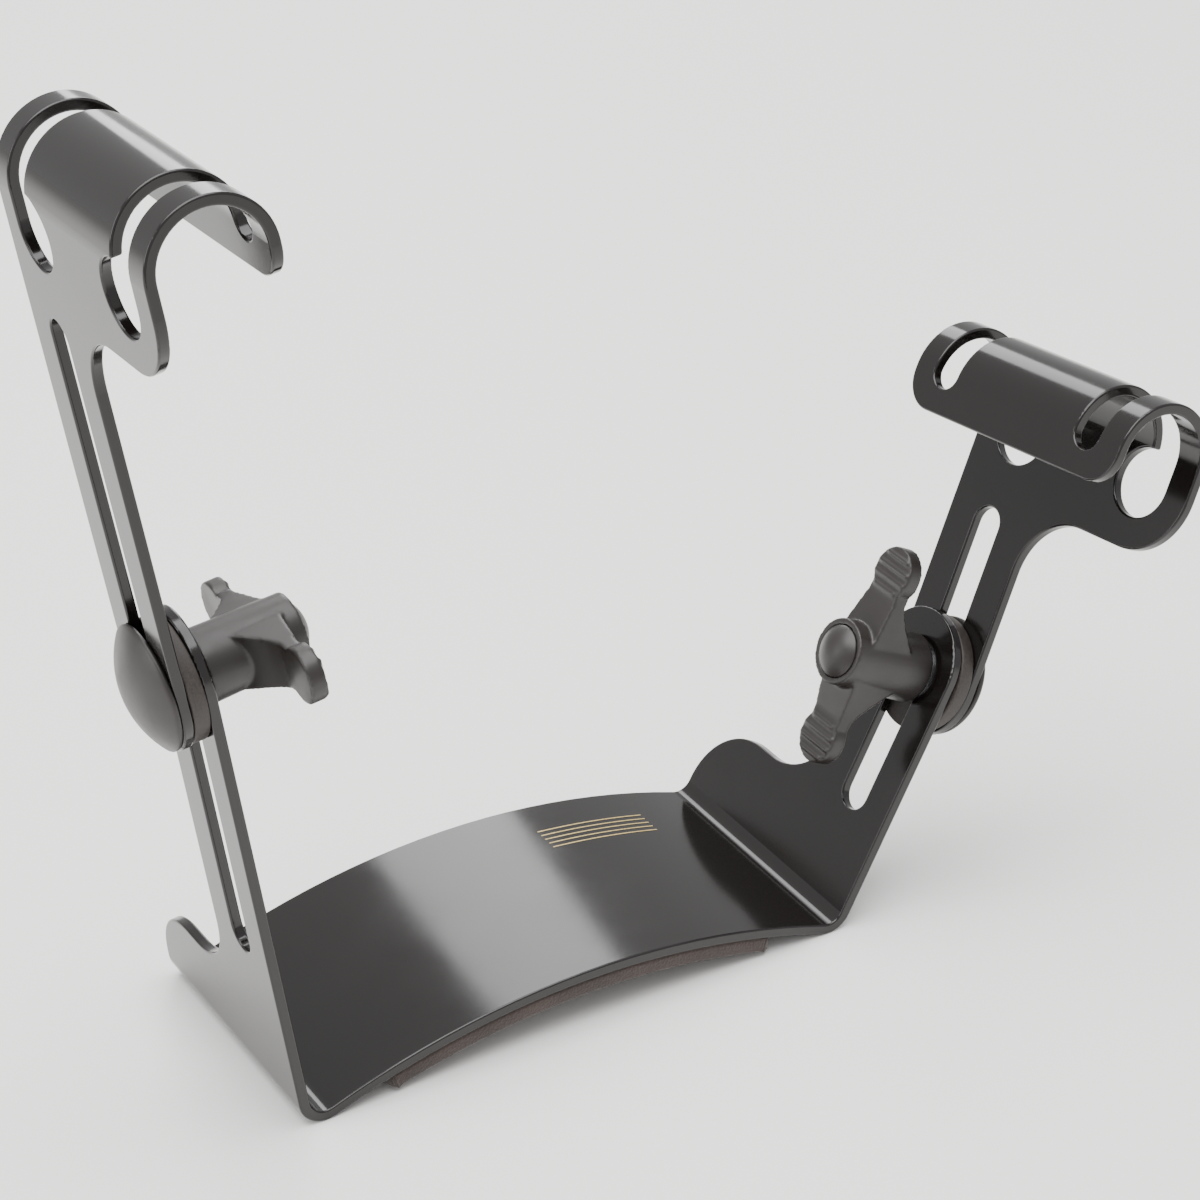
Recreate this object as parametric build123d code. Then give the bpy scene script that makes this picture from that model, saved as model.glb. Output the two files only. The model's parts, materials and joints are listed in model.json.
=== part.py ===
from build123d import *
from math import asin, cos, degrees, pi, radians, sin, sqrt
import os

# Guitar leg support: a bent steel saddle with two slotted uprights. A slotted steel arm with a rolled
# head is clamped outside each upright by a bolt and a wing knob.
# Frame: X across the player's thigh, Y across the plate's width, Z up. The origin is the highest point
# of the saddle's upper face, at the middle of its width. Millimetres and degrees.

# Steel plate
plate_thickness = 3.0
paint_edge_radius = 0.6
base_width = 80.0

# Saddle and its two bends
saddle_radius = 218.6
saddle_half_angle = 20.2
bend_radius = 4.5

# Upright strips, flush with the saddle's near edge, and the shoulder beside each of them
strip_width = 32.0
slot_width = 10.0
slot_from_edge = 15.4
shoulder_height = 22.2
shoulder_radius = 22.0
shoulder_fillet = 20.0

# Foam pad under the saddle and the film that glues it on
pad_thickness = 4.5
pad_length = 120.0
pad_inset = 0.5
pad_corner_radius = 5.0
film_thickness = 0.2

# Arms and their rolled heads
shank_width = 32.0
arm_end_below_bolt = 17.0
roll_radius = 16.1
flap_length = 10.0
flap_corner_radius = 9.0
arm_slot_below_roll = 29.8
keyhole_radius = 9.3
keyhole_below_roll = 7.5
keyhole_spacing = 48.6
keyhole_from_shank_edge = 17.1
keyhole_slot_width = 9.2
keyhole_slot_end = 3.0
lobe_radius = 17.9
lobe_fillet = 18.0

# Clamp: bolt, cap, spacer, washer and wing knob
thread_diameter = 8.0
thread_pitch = 1.25
bolt_head_diameter = 20.0
bolt_head_height = 2.4
cap_diameter = 33.0
cap_height = 7.0
cap_rim = 1.2
spacer_diameter = 33.0
spacer_thickness = 4.3
washer_diameter = 17.0
washer_thickness = 1.2
boss_root_diameter = 19.4
boss_tip_diameter = 18.2
boss_length = 26.7
insert_diameter = 12.0
insert_length = 14.0
bolt_end_gap = 1.5
knob_bore_clearance = 0.3
plug_diameter = 14.5
plug_depth = 2.5
plug_dome = 3.0
wing_pad_radius = 7.3
wing_pad_spacing = 49.5
wing_pad_thickness = 4.4
wing_pad_below_tip = 6.2
wing_root_width = 16.6
wing_waist_width = 11.4
wing_root_height = 6.0
ridge_radius = 0.7
ridge_pitch = 3.1
ridges_per_pad = 4

# Clearances
face_clearance = 0.05
shaft_clearance = 0.05
slot_clearance = 0.05

# What differs between the two sides. lean is the upright's angle from the vertical, strip_top the
# height of its round end's centre above the bend, and roll_above_bolt sets the arm's length.
SIDES = {
    "right": {
        "lean": 28.8,
        "strip_top": 69.5,
        "slot_start": 25.0,
        "roll_above_bolt": 78.1,
        "arm_tilt": 7.1,
        "knob_turn": 0.0,
    },
    "left": {
        "lean": 6.9,
        "strip_top": 129.1,
        "slot_start": 43.0,
        "roll_above_bolt": 128.3,
        "arm_tilt": 4.0,
        "knob_turn": 97.0,
    },
}
bolt_below_strip_top = 1.2

# Worked out from the sizes above
near_edge = -base_width / 2
far_edge = base_width / 2
slot_line = near_edge + slot_from_edge
arm_gap = spacer_thickness + 2 * face_clearance
arm_inner_face = plate_thickness + arm_gap
arm_outer_face = arm_inner_face + plate_thickness
knob_root = washer_thickness + 2 * face_clearance
neck_width = slot_width - 2 * slot_clearance
shaft_bore = thread_diameter + 2 * shaft_clearance
far_keyhole = shank_width / 2 - keyhole_from_shank_edge
near_keyhole = far_keyhole - keyhole_spacing
head_near_edge = near_keyhole - lobe_radius


def bend_centre():
    """Centre of the right-hand bend, as x and z."""
    radius = saddle_radius + bend_radius
    angle = radians(saddle_half_angle)
    return radius * sin(angle), radius * cos(angle) - saddle_radius


def upright_plane(side):
    """Inner face of the right-hand upright: x runs along Y, y up the strip, z outward."""
    lean = radians(side["lean"])
    outward = Vector(cos(lean), 0, -sin(lean))
    centre_x, centre_z = bend_centre()
    origin = Vector(centre_x, 0, centre_z) + outward * bend_radius
    return Plane(origin=origin, x_dir=(0, 1, 0), z_dir=outward)


def bolt_height(side):
    return side["strip_top"] - bolt_below_strip_top


def clamp_plane(side, turn=0.0):
    """Plane on the bolt's axis at the upright's inner face, turned about the axis."""
    plane = upright_plane(side)
    origin = plane.from_local_coords(Vector(slot_line, bolt_height(side), 0))
    along = plane.x_dir * cos(radians(turn)) - plane.y_dir * sin(radians(turn))
    return Plane(origin=origin, x_dir=along, z_dir=plane.z_dir)


def arc_band(centre, inner, outer, start, sweep):
    """Face between two concentric arcs."""
    inside = CenterArc(centre, inner, start, sweep)
    outside = CenterArc(centre, outer, start, sweep)
    ends = [Line(inside @ 0, outside @ 0), Line(inside @ 1, outside @ 1)]
    return make_face([inside, outside] + ends)


def slot_face(centre_x, start, end, width):
    """Upright slot with round ends, from its lowest to its highest point."""
    middle = (start + end) / 2
    return Pos(centre_x, middle) * Rot(0, 0, 90) * SlotOverall(end - start, width)


def is_sharp(solid, edge):
    """True where the two faces beside an edge meet at an angle, and not where a flat runs into a bend."""
    point = edge @ 0.5
    beside = [face for face in solid.faces() if any(edge.is_same(other) for other in face.edges())]
    normals = [face.normal_at(point) for face in beside]
    return len(normals) == 2 and abs(normals[0].dot(normals[1])) < 0.9


def round_plate_edges(solid):
    """The paint rounds every edge of a cut plate."""
    return fillet([edge for edge in solid.edges() if is_sharp(solid, edge)], paint_edge_radius)


def mirror_for(name, solid):
    """The left-hand pieces are built on the right and mirrored."""
    if name == "left":
        return mirror(solid, about=Plane.YZ)
    return solid


# ---- Base plate -----------------------------------------------------------------------------------


def saddle():
    half = saddle_half_angle
    arc = arc_band((0, -saddle_radius), saddle_radius - plate_thickness, saddle_radius, 90 - half, 2 * half)
    return extrude(Plane.XZ * arc, base_width / 2, both=True)


def bend(side):
    start = -90 - saddle_half_angle
    sweep = 90 + saddle_half_angle - side["lean"]
    arc = arc_band(bend_centre(), bend_radius, bend_radius + plate_thickness, start, sweep)
    return extrude(Plane.XZ * arc, base_width / 2, both=True)


def upright(side):
    strip_edge = near_edge + strip_width
    top = side["strip_top"]
    fillet_top = shoulder_height + shoulder_fillet
    shoulder_start = far_edge - shoulder_radius
    outline = [
        Line((near_edge, 0), (far_edge, 0)),
        Line((far_edge, 0), (far_edge, shoulder_height - shoulder_radius)),
        CenterArc((shoulder_start, shoulder_height - shoulder_radius), shoulder_radius, 0, 90),
        Line((shoulder_start, shoulder_height), (strip_edge + shoulder_fillet, shoulder_height)),
        CenterArc((strip_edge + shoulder_fillet, fillet_top), shoulder_fillet, 180, 90),
        Line((strip_edge, fillet_top), (strip_edge, top)),
        CenterArc((near_edge + strip_width / 2, top), strip_width / 2, 0, 180),
        Line((near_edge, top), (near_edge, 0)),
    ]
    slot_end = bolt_height(side) + slot_width / 2
    face = make_face(outline) - slot_face(slot_line, side["slot_start"], slot_end, slot_width)
    return extrude(upright_plane(side) * face, plate_thickness)


def base_plate():
    plate = saddle()
    for name, side in SIDES.items():
        plate += mirror_for(name, bend(side) + upright(side))
    return round_plate_edges(plate)


# ---- Thigh pad ------------------------------------------------------------------------------------


def saddle_layer(depth, thickness):
    """Curved layer under the saddle, with rounded corners in plan."""
    outer = saddle_radius - plate_thickness - depth
    half = degrees(asin(pad_length / 2 / saddle_radius))
    arc = arc_band((0, -saddle_radius), outer - thickness, outer, 90 - half, 2 * half)
    layer = extrude(Plane.XZ * arc, base_width / 2 - pad_inset, both=True)
    corners = [edge for edge in layer.edges() if abs(edge.length - thickness) < thickness / 10]
    return fillet(corners, pad_corner_radius)


# ---- Arms -----------------------------------------------------------------------------------------


def shank(side):
    """Flat part of an arm, up to where its head starts to roll."""
    half = shank_width / 2
    roll_start = side["roll_above_bolt"]
    foot = half - arm_end_below_bolt
    lobe_centre = roll_start - keyhole_below_roll
    lobe_bottom = lobe_centre - lobe_radius
    outline = [
        CenterArc((0, foot), half, 180, 180),
        Line((half, foot), (half, roll_start)),
        Line((half, roll_start), (head_near_edge, roll_start)),
        Line((head_near_edge, roll_start), (head_near_edge, lobe_centre)),
        CenterArc((near_keyhole, lobe_centre), lobe_radius, 180, 90),
        Line((near_keyhole, lobe_bottom), (-half - lobe_fillet, lobe_bottom)),
        CenterArc((-half - lobe_fillet, lobe_bottom - lobe_fillet), lobe_fillet, 0, 90),
        Line((-half, lobe_bottom - lobe_fillet), (-half, foot)),
    ]
    return extrude(make_face(outline), plate_thickness)


def roll(side):
    """Half-round head and the flap that hangs from it, facing the player's other side."""
    section = Plane(
        origin=(head_near_edge, side["roll_above_bolt"], plate_thickness - roll_radius),
        x_dir=(0, 1, 0),
        z_dir=(1, 0, 0),
    )
    inner = roll_radius - plate_thickness
    curl = arc_band((0, 0), inner, roll_radius, -90, 180)
    flap = Pos(-flap_length / 2, -inner - plate_thickness / 2) * Rectangle(flap_length, plate_thickness)
    head_width = shank_width / 2 - head_near_edge
    return extrude(section * (curl + flap), head_width)


def round_flap_corners(arm, side):
    lowest = side["roll_above_bolt"] - flap_length
    inner_side = plate_thickness - roll_radius
    corners = []
    for edge in arm.edges().filter_by(Axis.Z):
        middle = edge @ 0.5
        if middle.Z < inner_side and abs(middle.Y - lowest) < flap_length / 10:
            corners.append(edge)
    return fillet(corners, flap_corner_radius)


def keyhole_cutters(side):
    """Each keyhole's round hole in the shank and its slot over the roll into the flap."""
    roll_start = side["roll_above_bolt"]
    beyond = roll_start + 2 * roll_radius
    middle = Plane.XY.offset(plate_thickness - roll_radius)
    reach = 2 * roll_radius
    hole_centre = roll_start - keyhole_below_roll
    cutters = []
    for centre, outward in ((far_keyhole, 1), (near_keyhole, -1)):
        slot_middle = centre + outward * (keyhole_radius - keyhole_slot_width / 2)
        hole = Pos(centre, hole_centre) * Circle(keyhole_radius)
        slot_height = beyond - hole_centre
        opening = Pos(slot_middle, hole_centre + slot_height / 2) * Rectangle(keyhole_slot_width, slot_height)
        cutters.append(extrude(middle * (hole + opening), reach))
        flap_slot = slot_face(slot_middle, roll_start - keyhole_slot_end, beyond, keyhole_slot_width)
        cutters.append(extrude(middle * flap_slot, -reach))
    return cutters


def arm(side):
    solid = round_flap_corners(shank(side) + roll(side), side)
    slot_start = -neck_width / 2 - slot_clearance - slot_width / 2
    slot_end = side["roll_above_bolt"] - arm_slot_below_roll
    solid -= extrude(slot_face(0, slot_start, slot_end, slot_width), plate_thickness)
    for cutter in keyhole_cutters(side):
        solid -= cutter
    solid = round_plate_edges(solid)
    return clamp_plane(side, side["arm_tilt"]).offset(arm_inner_face).location * solid


# ---- Clamp ----------------------------------------------------------------------------------------


def disc(diameter, start, end):
    """Solid cylinder between two distances along the clamp's axis."""
    return Pos(0, 0, (start + end) / 2) * Cylinder(diameter / 2, end - start)


def bolt():
    """Carriage bolt: low round head, square neck in the arm's slot, and shaft."""
    seat = arm_outer_face + face_clearance
    neck_start = arm_inner_face
    head = disc(bolt_head_diameter, seat, seat + bolt_head_height)
    neck = Pos(0, 0, (neck_start + seat) / 2) * Box(neck_width, neck_width, seat - neck_start)
    shaft_end = -knob_root - boss_length + plug_depth + bolt_end_gap
    return head + neck + disc(thread_diameter, shaft_end, neck_start)


def domed_disc(diameter, rim, height):
    """Disc with an upright rim and a spherical top."""
    rise = height - rim
    dome_radius = (diameter**2 / 4 + rise**2) / (2 * rise)
    ball = Pos(0, 0, height - dome_radius) * Sphere(dome_radius)
    return ball & disc(diameter, 0, height)


def bolt_cap():
    seat = arm_outer_face + face_clearance
    dome = Pos(0, 0, seat) * domed_disc(cap_diameter, cap_rim, cap_height)
    return dome - disc(bolt_head_diameter, seat, seat + bolt_head_height)


def spacer_disc():
    """Disc between upright and arm, with a round spigot that rides in the upright's slot."""
    start = plate_thickness + face_clearance
    plate = disc(spacer_diameter, start, start + spacer_thickness)
    spigot = disc(neck_width, 0, start)
    return plate + spigot - disc(shaft_bore, 0, start + spacer_thickness)


def washer():
    ring = disc(washer_diameter, -knob_root + face_clearance, -face_clearance)
    return ring - disc(shaft_bore, -knob_root, 0)


def wing_plan():
    """Wings seen along the bolt: two round pads on a bar that narrows towards them."""
    pad = wing_pad_spacing / 2
    waist = pad - wing_pad_radius / 2
    root = wing_root_width / 2
    narrow = wing_waist_width / 2
    corners = [(-waist, -narrow), (0, -root), (waist, -narrow), (waist, narrow), (0, root), (-waist, narrow)]
    plan = make_face(Polyline(*corners, close=True))
    for centre in (-pad, pad):
        plan += Pos(centre, 0) * Circle(wing_pad_radius)
    return plan


def wing_side():
    """One wing seen from the side: it sweeps out of the boss and levels off at the pad."""
    top = boss_length - wing_pad_below_tip
    under = top - wing_pad_thickness
    tip = wing_pad_spacing / 2 + wing_pad_radius
    pad_start = wing_pad_spacing / 2 - wing_pad_radius
    shoulder = boss_length - plug_depth
    sweep = Spline((0, wing_root_height), (pad_start, under), tangents=[(1, 0.15), (1, 0.35)])
    rim = [(pad_start, under), (tip, under), (tip, top), (pad_start, top)]
    crown = Spline((pad_start, top), (0, shoulder), tangents=[(-1, 0.2), (-1, 0.4)])
    return make_face([sweep, Polyline(*rim), crown, Line((0, shoulder), (0, wing_root_height))])


def pad_ridges():
    """Grip ridges across the top of each pad."""
    top = boss_length - wing_pad_below_tip
    ridges = Part()
    for side in (-1, 1):
        centre = side * wing_pad_spacing / 2
        for index in range(ridges_per_pad):
            offset = (index - (ridges_per_pad - 1) / 2) * ridge_pitch
            half = sqrt((wing_pad_radius - ridge_radius) ** 2 - offset**2)
            ridges += Pos(centre + offset, 0, top) * Rot(90, 0, 0) * Cylinder(ridge_radius, 2 * half)
    return ridges


def knob():
    """Wing knob on its own axis: z runs from the washer towards the cap."""
    boss = Pos(0, 0, boss_length / 2) * Cone(boss_root_diameter / 2, boss_tip_diameter / 2, boss_length)
    one_side = extrude(Plane.XZ * wing_side(), wing_root_width, both=True)
    wings = (one_side + mirror(one_side, about=Plane.YZ)) & extrude(wing_plan(), boss_length)
    solid = boss + wings + pad_ridges()
    solid -= disc(insert_diameter, 0, insert_length)
    solid -= disc(shaft_bore + knob_bore_clearance, 0, boss_length)
    return solid - disc(plug_diameter, boss_length - plug_depth, boss_length)


def knob_insert():
    return disc(insert_diameter, 0, insert_length) - disc(shaft_bore, 0, insert_length)


def knob_cap():
    """Domed plug that closes the end of the boss."""
    start = boss_length - plug_depth
    return Pos(0, 0, start) * domed_disc(plug_diameter, plug_depth, plug_depth + plug_dome)


def knob_location(side):
    """Place on the washer, with the wings turned from the upright's direction by knob_turn."""
    plane = clamp_plane(side, side["knob_turn"])
    origin = plane.origin - plane.z_dir * knob_root
    return Plane(origin=origin, x_dir=plane.y_dir, z_dir=plane.z_dir * -1).location


# ---- Whole object ---------------------------------------------------------------------------------


def clamp_parts(name, side):
    clamp = clamp_plane(side).location
    tilted = clamp_plane(side, side["arm_tilt"]).location
    turned = knob_location(side)
    pieces = {
        "arm": arm(side),
        "bolt": tilted * bolt(),
        "bolt_cap": tilted * bolt_cap(),
        "spacer_disc": clamp * spacer_disc(),
        "washer": clamp * washer(),
        "knob": turned * knob(),
        "knob_insert": turned * knob_insert(),
        "knob_cap": turned * knob_cap(),
    }
    return {name + "_" + piece: mirror_for(name, solid) for piece, solid in pieces.items()}


def all_parts():
    parts = {
        "base_plate": base_plate(),
        "pad_adhesive": saddle_layer(0, film_thickness),
        "thigh_pad": saddle_layer(film_thickness, pad_thickness),
    }
    for name, side in SIDES.items():
        parts.update(clamp_parts(name, side))
    return parts


def main():
    os.makedirs("parts", exist_ok=True)
    for node, solid in all_parts().items():
        export_step(solid, "parts/" + node + ".step")
        print(node, "volume", round(solid.volume, 1))
    print("knob travel per turn", thread_pitch, "mm, ratio per radian", thread_pitch / (2 * pi))


main()
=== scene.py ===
"""Looks of a guitar leg support: enamelled steel, moulded knobs and caps, and a foam pad."""

import json
from math import atan2, cos, pi, radians, sin, sqrt

import bmesh
import bpy
from mathutils import Matrix, Vector


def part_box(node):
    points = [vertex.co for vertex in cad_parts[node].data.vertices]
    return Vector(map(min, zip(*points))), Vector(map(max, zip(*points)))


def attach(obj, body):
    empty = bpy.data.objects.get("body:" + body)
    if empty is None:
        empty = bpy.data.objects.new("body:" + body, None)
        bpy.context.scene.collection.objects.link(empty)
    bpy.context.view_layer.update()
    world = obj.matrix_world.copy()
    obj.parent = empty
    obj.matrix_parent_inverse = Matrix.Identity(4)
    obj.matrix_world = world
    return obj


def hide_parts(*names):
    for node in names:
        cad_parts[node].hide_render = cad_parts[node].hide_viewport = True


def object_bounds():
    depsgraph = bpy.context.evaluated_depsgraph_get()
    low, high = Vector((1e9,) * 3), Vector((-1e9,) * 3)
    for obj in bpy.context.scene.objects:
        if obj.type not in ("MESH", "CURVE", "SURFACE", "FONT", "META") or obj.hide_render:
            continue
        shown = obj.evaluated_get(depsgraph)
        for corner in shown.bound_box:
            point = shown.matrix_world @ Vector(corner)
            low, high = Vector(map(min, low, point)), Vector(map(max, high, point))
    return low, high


bl_info = {
    "name": "Guitar Leg Support",
    "version": (1, 0, 0),
    "blender": (4, 5, 0),
    "location": "3D View > Sidebar > Leg Support",
    "description": "Builds the finishes and soft pieces of a guitar leg support around its frame",
    "category": "Object",
}

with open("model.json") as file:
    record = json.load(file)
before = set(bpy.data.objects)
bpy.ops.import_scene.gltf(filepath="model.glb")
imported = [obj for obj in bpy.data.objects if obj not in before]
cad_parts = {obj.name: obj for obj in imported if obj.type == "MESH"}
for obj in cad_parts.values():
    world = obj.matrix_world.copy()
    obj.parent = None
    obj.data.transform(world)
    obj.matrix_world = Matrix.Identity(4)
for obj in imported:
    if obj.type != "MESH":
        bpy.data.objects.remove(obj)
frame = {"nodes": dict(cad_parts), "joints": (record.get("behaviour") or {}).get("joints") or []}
CAD_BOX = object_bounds()
NODES = frame["nodes"]
JOINTS = {joint["name"]: joint for joint in frame["joints"]}
SIDES = ("left", "right")
MM = 0.001

# Sizes of the clamps' turned and moulded pieces
CAP_RIM_HEIGHT = 1.2 * MM
PLUG_RIM_HEIGHT = 2.5 * MM
PLUG_CLEARANCE = 0.05 * MM
FRICTION_DISC_THICKNESS = 4.3 * MM
TURNING_STEPS = 96

# The printed stave: where its middle is, how thick the ink is and how many lines it has
STAVE_ANGLE = radians(10.5)
STAVE_FROM_MIDDLE = 22 * MM
STAVE_LINES = 5
STAVE_STEPS = 24
INK_THICKNESS = 0.03 * MM

# The foam pad's mesh: how its middle, ends, corners and rims are told apart, and how its faces wander
PAD_STEPS = 60
PAD_MIDDLE = 4 * MM
PAD_END = 6 * MM
LEAST_PAD_DEPTH = 2 * MM
FILM_END = 0.2 * MM
LEVEL_TOLERANCE = 0.01 * MM
CORNER_ANGLE = radians(60)
RIM_ANGLE = radians(50)
WAVE_ALONG = 7 * MM
WAVE_ACROSS = 9 * MM

# Distances within which a copied mesh and a turned mesh are sewn together
COPY_MERGE = 0.001 * MM
TURNED_MERGE = 0.002 * MM

# The stage
FLOOR_SIZE = 4.0
AIR_STRENGTH = 0.9
SENSOR_WIDTH = 36.0
VIEW_DEPTH = 20.0

# Softboxes: name, place from the camera's target, width, height and power in watts
SOFTBOXES = (
    ("overhead_softbox", (-0.15, -0.1, 1.5), 1.6, 1.6, 46.0),
    ("back_strip", (0.42, 0.95, 0.66), 0.34, 0.8, 5.0),
    ("left_fill", (-1.3, 0.2, 0.5), 0.8, 0.8, 7.0),
)


# ---- Settings ---------------------------------------------------------------------------------------


class SupportSettings(bpy.types.PropertyGroup):
    """Sizes and colours that a user would change."""

    enamel_colour: bpy.props.StringProperty(
        name="Enamel", description="Colour of the baked enamel, as sRGB hex", default="#120F0E"
    )
    nylon_colour: bpy.props.StringProperty(
        name="Nylon", description="Colour of the moulded knobs and caps, as sRGB hex", default="#1E1A18"
    )
    foam_colour: bpy.props.StringProperty(
        name="Foam", description="Colour of the foam pad, as sRGB hex", default="#2B211D"
    )
    gold_colour: bpy.props.StringProperty(
        name="Gold print", description="Colour of the printed stave, as sRGB hex", default="#CDB57A"
    )
    pad_edge_radius: bpy.props.FloatProperty(
        name="Pad edge", description="Rounding of the pad's cut edges", default=0.9 * MM, unit="LENGTH"
    )
    pad_corner_radius: bpy.props.FloatProperty(
        name="Pad corner", description="Rounding of the pad's corners in plan", default=5 * MM,
        unit="LENGTH",
    )
    pad_unevenness: bpy.props.FloatProperty(
        name="Pad unevenness", description="How far the foam's faces wander", default=0.12 * MM,
        unit="LENGTH",
    )
    mould_voxel: bpy.props.FloatProperty(
        name="Mould detail", description="Grid on which a moulded knob is rounded", default=0.4 * MM,
        unit="LENGTH",
    )
    mould_rounds: bpy.props.IntProperty(
        name="Mould rounding", description="Smoothing passes that round a moulded edge", default=8
    )
    rim_radius: bpy.props.FloatProperty(
        name="Rim radius", description="Rounding of the moulded rims", default=0.6 * MM, unit="LENGTH"
    )
    stave_length: bpy.props.FloatProperty(
        name="Stave length", description="Length of the printed gold stave", default=34 * MM, unit="LENGTH"
    )
    stave_pitch: bpy.props.FloatProperty(
        name="Stave pitch", description="Distance between the stave's lines", default=2.2 * MM, unit="LENGTH"
    )
    stave_line: bpy.props.FloatProperty(
        name="Stave line", description="Width of each printed line", default=0.45 * MM, unit="LENGTH"
    )
    camera_azimuth: bpy.props.FloatProperty(
        name="Camera azimuth", description="Direction of the camera from +X, about Z",
        default=radians(-119.56), subtype="ANGLE",
    )
    camera_elevation: bpy.props.FloatProperty(
        name="Camera elevation", description="Height of the camera above level", default=radians(30.15),
        subtype="ANGLE",
    )
    camera_roll: bpy.props.FloatProperty(
        name="Camera roll", description="Clockwise turn of the camera", default=radians(1.73), subtype="ANGLE"
    )
    camera_distance: bpy.props.FloatProperty(
        name="Camera distance", description="From the camera to the point it looks at",
        default=1.0207, unit="LENGTH",
    )
    camera_target: bpy.props.FloatVectorProperty(
        name="Camera target", description="Point that the camera looks at",
        default=(0.03725, 0.0117, 0.0765), subtype="TRANSLATION",
    )
    camera_lens: bpy.props.FloatProperty(
        name="Lens", description="Focal length in millimetres on a 36 mm sensor", default=114.4
    )


def settings():
    return bpy.context.scene.leg_support


# ---- Shared helpers ---------------------------------------------------------------------------------


def linear(hex_colour):
    """An sRGB hex colour as linear red, green, blue and alpha."""
    channels = [int(hex_colour[i:i + 2], 16) / 255 for i in (1, 3, 5)]
    return [c / 12.92 if c <= 0.04045 else ((c + 0.055) / 1.055) ** 2.4 for c in channels] + [1.0]


def add_node(tree, kind, inputs=None, links=None, **attributes):
    """Add a node, set its attributes and sockets, and link other nodes' outputs to its inputs."""
    node = tree.nodes.new(kind)
    for name, value in attributes.items():
        setattr(node, name, value)
    for name, value in (inputs or {}).items():
        node.inputs[name].default_value = value
    for name, output in (links or {}).items():
        tree.links.new(output, node.inputs[name])
    return node


def new_material(name):
    """An empty material and its node tree."""
    material = bpy.data.materials.new(name)
    material.use_nodes = True
    material.node_tree.nodes.clear()
    return material, material.node_tree


def close_material(tree, shader):
    add_node(tree, "ShaderNodeOutputMaterial", links={"Surface": shader.outputs["BSDF"]})


def per_metre(size):
    """Noise scale, in features per metre of object space, for a feature of that size."""
    return 1.0 / size


def ramp(tree, factor, low, high, low_value, high_value):
    """Map a range of a 0 to 1 pattern to a range of values."""
    return add_node(
        tree, "ShaderNodeMapRange",
        inputs={"From Min": low, "From Max": high, "To Min": low_value, "To Max": high_value},
        links={"Value": factor},
    ).outputs["Result"]


def mix_colours(tree, factor, first, second):
    """Mix two constant colours by a pattern."""
    return add_node(
        tree, "ShaderNodeMix", {"A": first, "B": second}, {"Factor": factor}, data_type="RGBA"
    ).outputs["Result"]


def object_place(tree):
    """The point being shaded, in the piece's own space."""
    return add_node(tree, "ShaderNodeTexCoord").outputs["Object"]


def noise(tree, place, size, detail, roughness=0.5):
    """Cloudy 0 to 1 pattern, with features of a given size."""
    return add_node(
        tree, "ShaderNodeTexNoise", {"Scale": per_metre(size), "Detail": detail, "Roughness": roughness},
        {"Vector": place},
    ).outputs["Fac"]


def relief(tree, height, strength, depth):
    """Normal of a surface raised by a pattern."""
    return add_node(
        tree, "ShaderNodeBump", {"Strength": strength, "Distance": depth}, {"Height": height}
    ).outputs["Normal"]


def paint(node_name, material):
    """Give a node that stays from the frame its finish."""
    mesh = NODES[node_name].data
    mesh.materials.clear()
    mesh.materials.append(material)


def add_piece(name, mesh, material, body):
    """Put a finished mesh in the scene, riding on its body."""
    piece = bpy.data.objects.new(name, mesh)
    bpy.context.scene.collection.objects.link(piece)
    mesh.materials.clear()
    mesh.materials.append(material)
    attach(piece, body)
    return piece


def mesh_from(bm, name):
    mesh = bpy.data.meshes.new(name)
    bm.to_mesh(mesh)
    bm.free()
    return mesh


def clamp_axis(side):
    """A point on a clamp's axis and the axis's outward direction."""
    joint = JOINTS[side + "_tilt"]
    return Vector(joint["pos_m"]), Vector(joint["axis"]).normalized()


def span(node_name, point, axis):
    """Lowest and highest place along an axis, and largest radius from it, of a node."""
    offsets = [vertex.co - point for vertex in NODES[node_name].data.vertices]
    along = [offset.dot(axis) for offset in offsets]
    across = max((offset - axis * offset.dot(axis)).length for offset in offsets)
    return min(along), max(along), across


def axis_matrix(point, axis):
    """Matrix that puts a shape turned about Z onto an axis."""
    return Matrix.Translation(point) @ axis.to_track_quat("Z", "Y").to_matrix().to_4x4()


# ---- Materials --------------------------------------------------------------------------------------


def baked_enamel():
    """Gloss black enamel, sprayed on steel and baked: a deep mirror with a faint orange peel."""
    material, tree = new_material("baked_enamel_sprayed_on_steel")
    place = object_place(tree)
    cloud = noise(tree, place, 22 * MM, 3.0)
    peel = noise(tree, place, 2.4 * MM, 1.0)
    bump = relief(tree, peel, 0.05, 0.08 * MM)
    base = linear(settings().enamel_colour)
    shader = add_node(
        tree, "ShaderNodeBsdfPrincipled", {"Base Color": base, "IOR": 1.5, "Specular IOR Level": 0.5},
        {"Roughness": ramp(tree, cloud, 0.3, 0.7, 0.12, 0.17), "Normal": bump},
    )
    close_material(tree, shader)
    return material


def moulded_nylon():
    """Black nylon from a spark-eroded mould: a satin face with a very fine grain."""
    material, tree = new_material("nylon_moulded_satin")
    place = object_place(tree)
    cloud = noise(tree, place, 9 * MM, 4.0)
    # The real grain is about 0.1 mm, and is drawn at 0.35 mm so that it shows.
    grain = noise(tree, place, 0.35 * MM, 2.0)
    bump = relief(tree, grain, 0.12, 0.05 * MM)
    base = linear(settings().nylon_colour)
    shader = add_node(
        tree, "ShaderNodeBsdfPrincipled", {"Base Color": base, "IOR": 1.53},
        {"Roughness": ramp(tree, cloud, 0.3, 0.7, 0.34, 0.46), "Normal": bump},
    )
    close_material(tree, shader)
    return material


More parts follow.
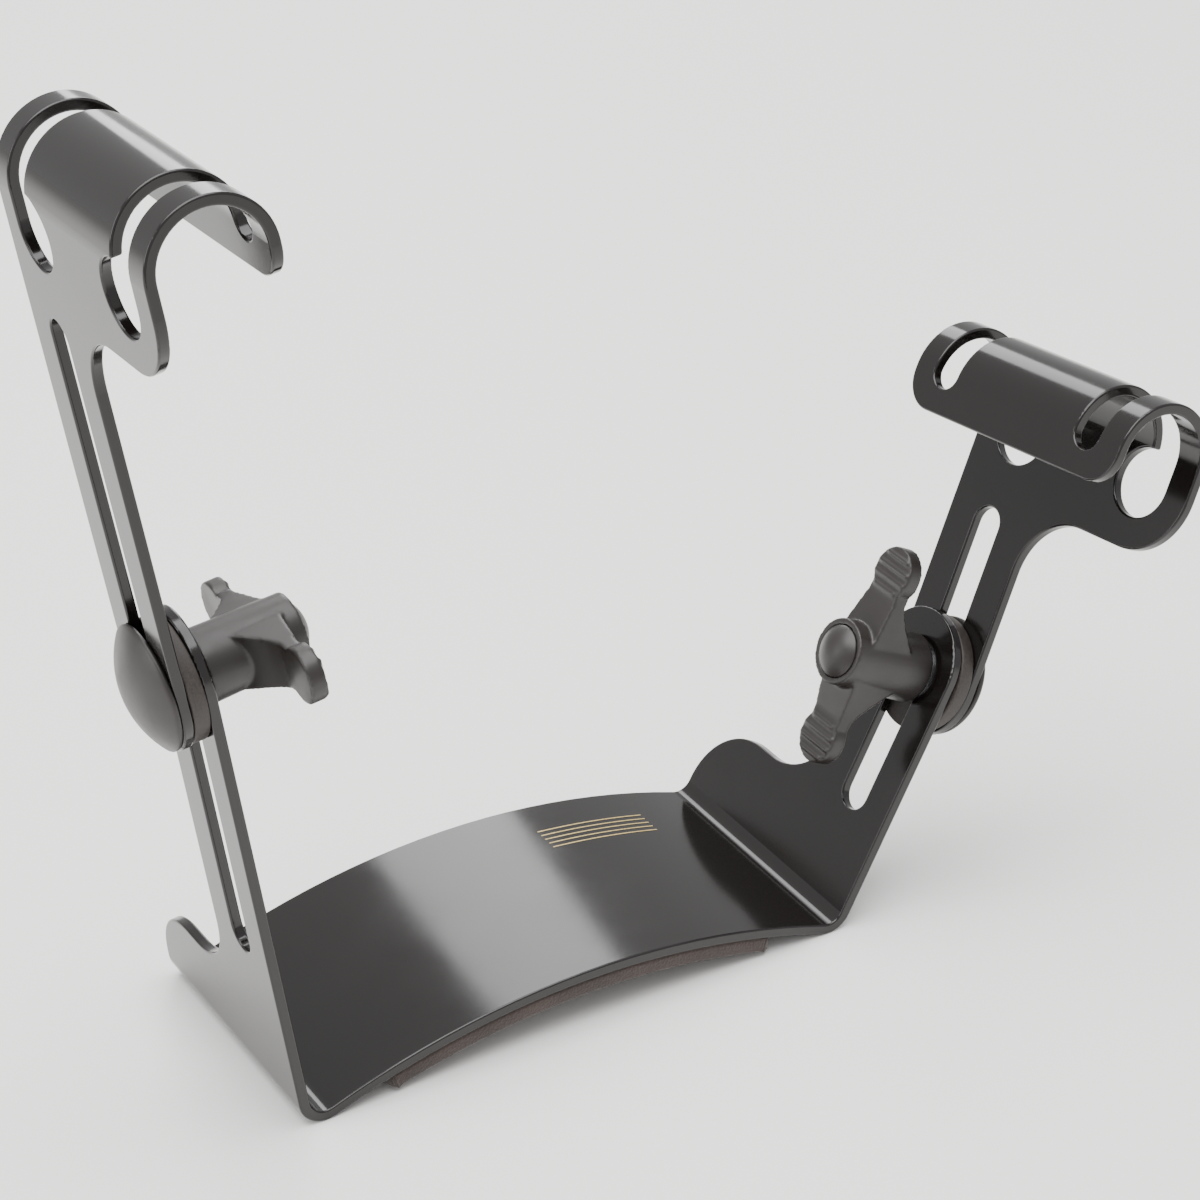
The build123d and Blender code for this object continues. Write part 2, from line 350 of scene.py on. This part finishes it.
def friction_nylon():
    """Glass-filled nylon of the friction discs: dull, with the speckle of its fibres."""
    material, tree = new_material("glass_filled_nylon_moulded_dull")
    place = object_place(tree)
    fibres = noise(tree, place, 0.6 * MM, 5.0, roughness=0.7)
    bump = relief(tree, fibres, 0.35, 0.08 * MM)
    colour = mix_colours(tree, ramp(tree, fibres, 0.35, 0.7, 0.0, 1.0), linear("#191513"), linear("#3A322D"))
    shader = add_node(
        tree, "ShaderNodeBsdfPrincipled", {"IOR": 1.53},
        {"Base Color": colour, "Roughness": ramp(tree, fibres, 0.3, 0.7, 0.5, 0.7), "Normal": bump},
    )
    close_material(tree, shader)
    return material


def closed_cell_foam():
    """EVA foam cut from a skived sheet: matt, with opened cells all over."""
    material, tree = new_material("eva_foam_skived_sheet")
    place = object_place(tree)
    # Real cells are about 0.3 mm, and are drawn at 0.7 mm so that they show.
    cells = add_node(
        tree, "ShaderNodeTexVoronoi", {"Scale": per_metre(0.7 * MM)}, {"Vector": place}
    ).outputs["Distance"]
    cloud = noise(tree, place, 14 * MM, 5.0)
    bump = relief(tree, cells, 0.7, 0.2 * MM)
    base = linear(settings().foam_colour)
    light = [channel * 1.7 for channel in base[:3]] + [1.0]
    colour = mix_colours(tree, ramp(tree, cloud, 0.3, 0.7, 0.0, 1.0), base, light)
    shader = add_node(
        tree, "ShaderNodeBsdfPrincipled", {"IOR": 1.48, "Sheen Weight": 0.15, "Sheen Roughness": 0.6},
        {"Base Color": colour, "Roughness": ramp(tree, cells, 0.0, 0.8, 0.96, 0.82), "Normal": bump},
    )
    close_material(tree, shader)
    return material


def zinc_plate():
    """Bright zinc on steel: a bluish metal with a slightly streaked roughness."""
    material, tree = new_material("steel_zinc_plated")
    place = object_place(tree)
    streaks = noise(tree, place, 3 * MM, 6.0)
    shader = add_node(
        tree, "ShaderNodeBsdfPrincipled", {"Base Color": linear("#BFC2C6"), "Metallic": 1.0},
        {"Roughness": ramp(tree, streaks, 0.3, 0.7, 0.22, 0.4)},
    )
    close_material(tree, shader)
    return material


def turned_brass():
    """Brass turned on a lathe: warm metal, a little dull."""
    material, tree = new_material("brass_turned")
    place = object_place(tree)
    rings = noise(tree, place, 1.5 * MM, 4.0)
    shader = add_node(
        tree, "ShaderNodeBsdfPrincipled", {"Base Color": linear("#D8B469"), "Metallic": 1.0},
        {"Roughness": ramp(tree, rings, 0.3, 0.7, 0.25, 0.42)},
    )
    close_material(tree, shader)
    return material


def adhesive_film():
    """Acrylic glue on a polyester film: pale and slightly cloudy."""
    material, tree = new_material("acrylic_film_coated")
    place = object_place(tree)
    cloud = noise(tree, place, 6 * MM, 3.0)
    colour = mix_colours(tree, cloud, linear("#2C2622"), linear("#3B332D"))
    shader = add_node(
        tree, "ShaderNodeBsdfPrincipled", {"Roughness": 0.5, "IOR": 1.47}, {"Base Color": colour}
    )
    close_material(tree, shader)
    return material


def gold_ink():
    """Metallic ink, pad-printed: thin, slightly broken in its cover."""
    material, tree = new_material("gold_ink_pad_printed")
    place = object_place(tree)
    cover = noise(tree, place, 0.5 * MM, 3.0)
    base = linear(settings().gold_colour)
    thin = [channel * 0.6 for channel in base[:3]] + [1.0]
    colour = mix_colours(tree, ramp(tree, cover, 0.3, 0.6, 0.0, 1.0), thin, base)
    shader = add_node(
        tree, "ShaderNodeBsdfPrincipled", {"Metallic": 0.35, "Roughness": 0.45}, {"Base Color": colour}
    )
    close_material(tree, shader)
    return material


# ---- Moulded and turned pieces ----------------------------------------------------------------------


def softened_copy(node_name):
    """Copy a node, merge it, and round its edges as a mould would."""
    bm = bmesh.new()
    bm.from_mesh(NODES[node_name].data)
    bmesh.ops.remove_doubles(bm, verts=bm.verts, dist=COPY_MERGE)
    draft = bpy.data.objects.new(node_name + "_draft", mesh_from(bm, node_name + "_draft"))
    bpy.context.scene.collection.objects.link(draft)
    remesh = draft.modifiers.new("rounding_grid", "REMESH")
    remesh.mode = "VOXEL"
    remesh.voxel_size = settings().mould_voxel
    smooth = draft.modifiers.new("rounding", "SMOOTH")
    smooth.factor = 0.5
    smooth.iterations = settings().mould_rounds
    bpy.context.view_layer.update()
    finished = draft.evaluated_get(bpy.context.evaluated_depsgraph_get())
    mesh = bpy.data.meshes.new_from_object(finished)
    bpy.data.objects.remove(draft)
    mesh.shade_smooth()
    return mesh


def turned_mesh(name, profile, point, axis):
    """Turn a closed profile of (radius, height) points about an axis."""
    bm = bmesh.new()
    corners = [bm.verts.new((radius, 0, height)) for radius, height in profile]
    edges = [bm.edges.new(pair) for pair in zip(corners, corners[1:])]
    bmesh.ops.spin(
        bm, geom=corners + edges, axis=(0, 0, 1), cent=(0, 0, 0), dvec=(0, 0, 0), angle=2 * pi,
        steps=TURNING_STEPS, use_merge=True, use_duplicate=False,
    )
    bmesh.ops.remove_doubles(bm, verts=bm.verts, dist=TURNED_MERGE)
    bmesh.ops.recalc_face_normals(bm, faces=bm.faces)
    bmesh.ops.transform(bm, matrix=axis_matrix(point, axis), verts=bm.verts)
    mesh = mesh_from(bm, name)
    mesh.shade_smooth()
    return mesh


def dome_profile(low, rim_height, high, radius, rounding, steps=24):
    """Half section of a domed disc with a flat underside, from its centre round to its crown."""
    rise = high - low - rim_height
    ball = (radius ** 2 + rise ** 2) / (2 * rise)
    dome_reach = radius - rounding * 0.4
    edge = atan2(dome_reach, sqrt(ball ** 2 - dome_reach ** 2))
    points = [(0.0, low), (radius - rounding, low)]
    points += [
        (radius - rounding + rounding * sin(radians(a)), low + rounding - rounding * cos(radians(a)))
        for a in (30, 60, 90)
    ]
    points.append((radius, low + rim_height - rounding * 0.3))
    for step in range(steps + 1):
        angle = edge * (1 - step / steps)
        points.append((ball * sin(angle), high - ball + ball * cos(angle)))
    return points


def disc_profile(low, high, radius, rounding):
    """Half section of a flat disc with rounded rims."""
    quarter = [radians(a) for a in (0, 22.5, 45, 67.5, 90)]
    bottom = [(radius - rounding + rounding * sin(a), low + rounding - rounding * cos(a)) for a in quarter]
    top = [(radius - rounding + rounding * cos(a), high - rounding + rounding * sin(a)) for a in quarter]
    return [(0.0, low)] + bottom + top + [(0.0, high)]


class SUPPORT_OT_painted_plates(bpy.types.Operator):
    """Enamel the bent saddle plate and both arms"""

    bl_idname = "leg_support.painted_plates"
    bl_label = "Painted plates"

    def execute(self, context):
        enamel = baked_enamel()
        for node_name in ("base_plate", "left_arm", "right_arm"):
            paint(node_name, enamel)
        return {"FINISHED"}


class SUPPORT_OT_clamps(bpy.types.Operator):
    """Build the knobs, caps and friction discs, and finish the bolts, washers and inserts"""

    bl_idname = "leg_support.clamps"
    bl_label = "Clamps"

    def execute(self, context):
        nylon = moulded_nylon()
        friction = friction_nylon()
        zinc = zinc_plate()
        brass = turned_brass()
        for side in SIDES:
            self.knob(side, nylon)
            self.bolt_cap(side, nylon)
            self.knob_cap(side, nylon)
            self.spacer(side, friction)
            paint(side + "_bolt", zinc)
            paint(side + "_washer", zinc)
            paint(side + "_knob_insert", brass)
        return {"FINISHED"}

    def knob(self, side, material):
        node = side + "_knob"
        piece = add_piece(side + "_wing_knob", softened_copy(node), material, side + "_knob")
        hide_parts(node)

    def bolt_cap(self, side, material):
        node = side + "_bolt_cap"
        point, axis = clamp_axis(side)
        low, high, radius = span(node, point, axis)
        rounding = settings().rim_radius
        profile = dome_profile(low, CAP_RIM_HEIGHT, high, radius, rounding)
        mesh = turned_mesh(node + "_dome", profile, point, axis)
        piece = add_piece(side + "_bolt_dome", mesh, material, side + "_swivel")
        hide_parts(node)

    def knob_cap(self, side, material):
        node = side + "_knob_cap"
        point, outward = clamp_axis(side)
        axis = -outward
        low, high, radius = span(node, point, axis)
        rounding = settings().rim_radius / 2
        profile = dome_profile(low, PLUG_RIM_HEIGHT, high, radius - PLUG_CLEARANCE, rounding)
        mesh = turned_mesh(node + "_dome", profile, point, axis)
        piece = add_piece(side + "_knob_dome", mesh, material, side + "_knob")
        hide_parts(node)

    def spacer(self, side, material):
        node = side + "_spacer_disc"
        point, axis = clamp_axis(side)
        high, radius = span(node, point, axis)[1:]
        low = high - FRICTION_DISC_THICKNESS
        profile = disc_profile(low, high, radius, settings().rim_radius)
        mesh = turned_mesh(node + "_rounded", profile, point, axis)
        piece = add_piece(side + "_friction_disc", mesh, material, side + "_carriage")
        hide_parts(node)


# ---- Foam pad ---------------------------------------------------------------------------------------


def saddle_circle():
    """Centre height and radius of the saddle's underside, from the glue film's crown and ends."""
    film = [vertex.co for vertex in NODES["pad_adhesive"].data.vertices]
    crown = max(point.z for point in film)
    end = max(film, key=lambda point: point.x)
    level = [point.z for point in film if abs(point.x - end.x) < FILM_END]
    drop = crown - max(level)
    radius = (end.x ** 2 + drop ** 2) / (2 * drop)
    return crown - radius, radius


class SUPPORT_OT_foam_pad(bpy.types.Operator):
    """Cut the curved foam pad and finish the film that glues it on"""

    bl_idname = "leg_support.foam_pad"
    bl_label = "Foam pad"

    def execute(self, context):
        centre_z, film_radius = saddle_circle()
        low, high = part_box("thigh_pad")
        half = (high.x - low.x) / 2
        film = max(v.co.z for v in NODES["pad_adhesive"].data.vertices) - high.z
        outer = film_radius - film
        bottom = max(
            v.co.z for v in NODES["thigh_pad"].data.vertices
            if abs(v.co.x) < PAD_MIDDLE and v.co.z < high.z - LEAST_PAD_DEPTH
        )
        thickness = high.z - bottom
        bm = bmesh.new()
        angle = 2 * atan2(half, sqrt(outer ** 2 - half ** 2))
        start = Matrix.Rotation(-angle / 2, 4, "Y")
        centre = Vector((0, 0, centre_z))
        inner = outer - thickness
        section = ((low.y, outer), (high.y, outer), (high.y, inner), (low.y, inner))
        ring = [bm.verts.new(centre + start @ Vector((0, y, radius))) for y, radius in section]
        face = bm.faces.new(ring)
        bmesh.ops.spin(
            bm, geom=[face], axis=(0, 1, 0), cent=centre, dvec=(0, 0, 0), angle=angle, steps=PAD_STEPS,
            use_duplicate=False,
        )
        bmesh.ops.recalc_face_normals(bm, faces=bm.faces)
        self.round_corners(bm)
        self.round_rims(bm)
        self.roughen(bm)
        mesh = mesh_from(bm, "foam_pad")
        mesh.shade_smooth()
        piece = add_piece("foam_pad", mesh, closed_cell_foam(), "base")
        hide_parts("thigh_pad")
        paint("pad_adhesive", adhesive_film())
        return {"FINISHED"}

    def round_corners(self, bm):
        """Round the four upright corners in plan."""
        reach = max(vertex.co.x for vertex in bm.verts)
        ends = [
            edge for edge in bm.edges
            if edge.calc_face_angle(0) > CORNER_ANGLE
            and abs(edge.verts[0].co.y - edge.verts[1].co.y) < LEVEL_TOLERANCE
            and min(abs(v.co.x) for v in edge.verts) > reach - PAD_END
            and abs(edge.verts[0].co.z - edge.verts[1].co.z) > LEAST_PAD_DEPTH
        ]
        bmesh.ops.bevel(
            bm, geom=ends, offset=settings().pad_corner_radius, offset_type="OFFSET", segments=8,
            profile=0.5, affect="EDGES", material=-1,
        )

    def round_rims(self, bm):
        """Soften the cut rims of the upper and lower faces."""
        rims = [edge for edge in bm.edges if edge.calc_face_angle(0) > RIM_ANGLE]
        bmesh.ops.bevel(
            bm, geom=rims, offset=settings().pad_edge_radius, offset_type="OFFSET", segments=4,
            profile=0.5, affect="EDGES", material=-1,
        )

    def roughen(self, bm):
        """Let the under face and the cut sides wander a little, as foam does."""
        amount = settings().pad_unevenness
        bmesh.ops.recalc_face_normals(bm, faces=bm.faces)
        bm.normal_update()
        for vertex in bm.verts:
            if vertex.normal.z < 0.5:
                wave = sin(vertex.co.x / WAVE_ALONG) * cos(vertex.co.y / WAVE_ACROSS) - 1
                vertex.co += vertex.normal * amount * wave / 2


# ---- Printed stave ----------------------------------------------------------------------------------


class SUPPORT_OT_printed_stave(bpy.types.Operator):
    """Print five fine gold lines, a plain stave, on the saddle"""

    bl_idname = "leg_support.printed_stave"
    bl_label = "Printed stave"

    def execute(self, context):
        values = settings()
        centre_z = saddle_circle()[0]
        # The saddle's crown is at height zero.
        radius = -centre_z
        sweep = values.stave_length / radius
        bm = bmesh.new()
        turn = Matrix.Rotation(STAVE_ANGLE - sweep / 2, 4, "Y")
        for line in range(STAVE_LINES):
            y = STAVE_FROM_MIDDLE + (line - STAVE_LINES // 2) * values.stave_pitch
            ring = []
            for side_y, height in ((-1, 0), (1, 0), (1, INK_THICKNESS), (-1, INK_THICKNESS)):
                place = Vector((0, y + side_y * values.stave_line / 2, radius + height))
                ring.append(bm.verts.new(Vector((0, 0, centre_z)) + turn @ place))
            face = bm.faces.new(ring)
            bmesh.ops.spin(
                bm, geom=[face], axis=(0, 1, 0), cent=(0, 0, centre_z), dvec=(0, 0, 0), angle=sweep,
                steps=STAVE_STEPS, use_duplicate=False,
            )
        bmesh.ops.recalc_face_normals(bm, faces=bm.faces)
        add_piece("printed_stave", mesh_from(bm, "printed_stave"), gold_ink(), "base")
        return {"FINISHED"}


# ---- Stage ------------------------------------------------------------------------------------------


def studio_paper():
    """White background paper: plain, pale and matt."""
    material, tree = new_material("paper_white_matt")
    shader = add_node(tree, "ShaderNodeBsdfPrincipled", {"Base Color": linear("#F4F3F1"), "Roughness": 0.9})
    close_material(tree, shader)
    return material


class SUPPORT_OT_stage(bpy.types.Operator):
    """Lay the floor, and set the lights and the camera"""

    bl_idname = "leg_support.stage"
    bl_label = "Stage"

    def execute(self, context):
        self.floor(context)
        self.world(context)
        target = Vector(settings().camera_target)
        for name, offset, width, height, power in SOFTBOXES:
            self.softbox(name, target + Vector(offset), target, width, height, power)
        self.camera(context, target)
        return {"FINISHED"}

    def floor(self, context):
        bm = bmesh.new()
        bmesh.ops.create_grid(bm, x_segments=2, y_segments=2, size=FLOOR_SIZE)
        low = CAD_BOX[0][2]
        bmesh.ops.translate(bm, verts=bm.verts, vec=(0, 0, low))
        floor = bpy.data.objects.new("floor", mesh_from(bm, "floor"))
        floor.data.materials.append(studio_paper())
        context.scene.collection.objects.link(floor)

    def world(self, context):
        world = bpy.data.worlds.new("studio_air")
        world.use_nodes = True
        background = world.node_tree.nodes["Background"]
        background.inputs["Color"].default_value = linear("#FFFFFF")
        background.inputs["Strength"].default_value = AIR_STRENGTH
        context.scene.world = world

    def softbox(self, name, place, target, width, height, power):
        light = bpy.data.lights.new(name, "AREA")
        light.shape = "RECTANGLE"
        light.size = width
        light.size_y = height
        light.energy = power
        lamp = bpy.data.objects.new(name, light)
        lamp.location = place
        lamp.rotation_euler = (target - place).to_track_quat("-Z", "Y").to_euler()
        bpy.context.scene.collection.objects.link(lamp)

    def camera(self, context, target):
        values = settings()
        level = cos(values.camera_elevation)
        away = Vector((
            level * cos(values.camera_azimuth),
            level * sin(values.camera_azimuth),
            sin(values.camera_elevation),
        ))
        data = bpy.data.cameras.new("camera")
        data.lens = values.camera_lens
        data.sensor_width = SENSOR_WIDTH
        data.clip_end = VIEW_DEPTH
        camera = bpy.data.objects.new("camera", data)
        look = (-away).to_track_quat("-Z", "Y").to_matrix().to_4x4()
        roll = Matrix.Rotation(-values.camera_roll, 4, "Z")
        camera.matrix_world = Matrix.Translation(target + away * values.camera_distance) @ look @ roll
        context.scene.collection.objects.link(camera)
        context.scene.camera = camera


# ---- Panel, registration and main -------------------------------------------------------------------


OPERATORS = (
    SUPPORT_OT_painted_plates,
    SUPPORT_OT_clamps,
    SUPPORT_OT_foam_pad,
    SUPPORT_OT_printed_stave,
    SUPPORT_OT_stage,
)


class SUPPORT_PT_panel(bpy.types.Panel):
    """Pieces and sizes of the leg support"""

    bl_idname = "SUPPORT_PT_panel"
    bl_label = "Leg Support"
    bl_space_type = "VIEW_3D"
    bl_region_type = "UI"
    bl_category = "Leg Support"

    def draw(self, context):
        for name in SupportSettings.__annotations__:
            self.layout.prop(context.scene.leg_support, name)
        for operator in OPERATORS:
            self.layout.operator(operator.bl_idname)


def register():
    bpy.utils.register_class(SupportSettings)
    bpy.types.Scene.leg_support = bpy.props.PointerProperty(type=SupportSettings)
    for operator in OPERATORS:
        bpy.utils.register_class(operator)
    bpy.utils.register_class(SUPPORT_PT_panel)


def unregister():
    bpy.utils.unregister_class(SUPPORT_PT_panel)
    for operator in reversed(OPERATORS):
        bpy.utils.unregister_class(operator)
    del bpy.types.Scene.leg_support
    bpy.utils.unregister_class(SupportSettings)


def main():
    register()
    for operator in OPERATORS:
        group, name = operator.bl_idname.split(".")
        getattr(getattr(bpy.ops, group), name)()


if __name__ == "__main__":
    main()
